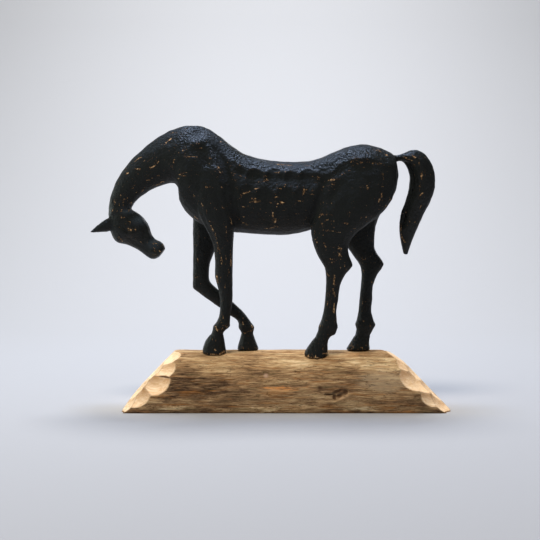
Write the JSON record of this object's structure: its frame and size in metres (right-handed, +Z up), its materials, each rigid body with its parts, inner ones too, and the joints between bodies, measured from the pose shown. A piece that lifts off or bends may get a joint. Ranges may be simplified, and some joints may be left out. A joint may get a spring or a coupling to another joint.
{
  "type": "carved wooden horse sculpture on a half-log base",
  "caption": "Slender carved wooden horse with a bowed head, painted black and rubbed through, standing on a half log with hewn ends. An ornament for a shelf or table.",
  "frame": {"origin": "centre of the log's flat underside", "axes": "+Z up; the horse faces -X, with its tail towards +X; its near side, seen in front, is -Y"},
  "size_m": [0.4493, 0.136, 0.3546],
  "materials": {
    "black_painted_wood": "satin black paint, rubbed through to brown wood in small flecks",
    "weathered_log": "bare weathered log skin with pale fresh gouge cuts at both ends"
  },
  "bodies": {
    "root": {"horse": "black_painted_wood", "half_log_base": "weathered_log"}
  },
  "joints": []
}
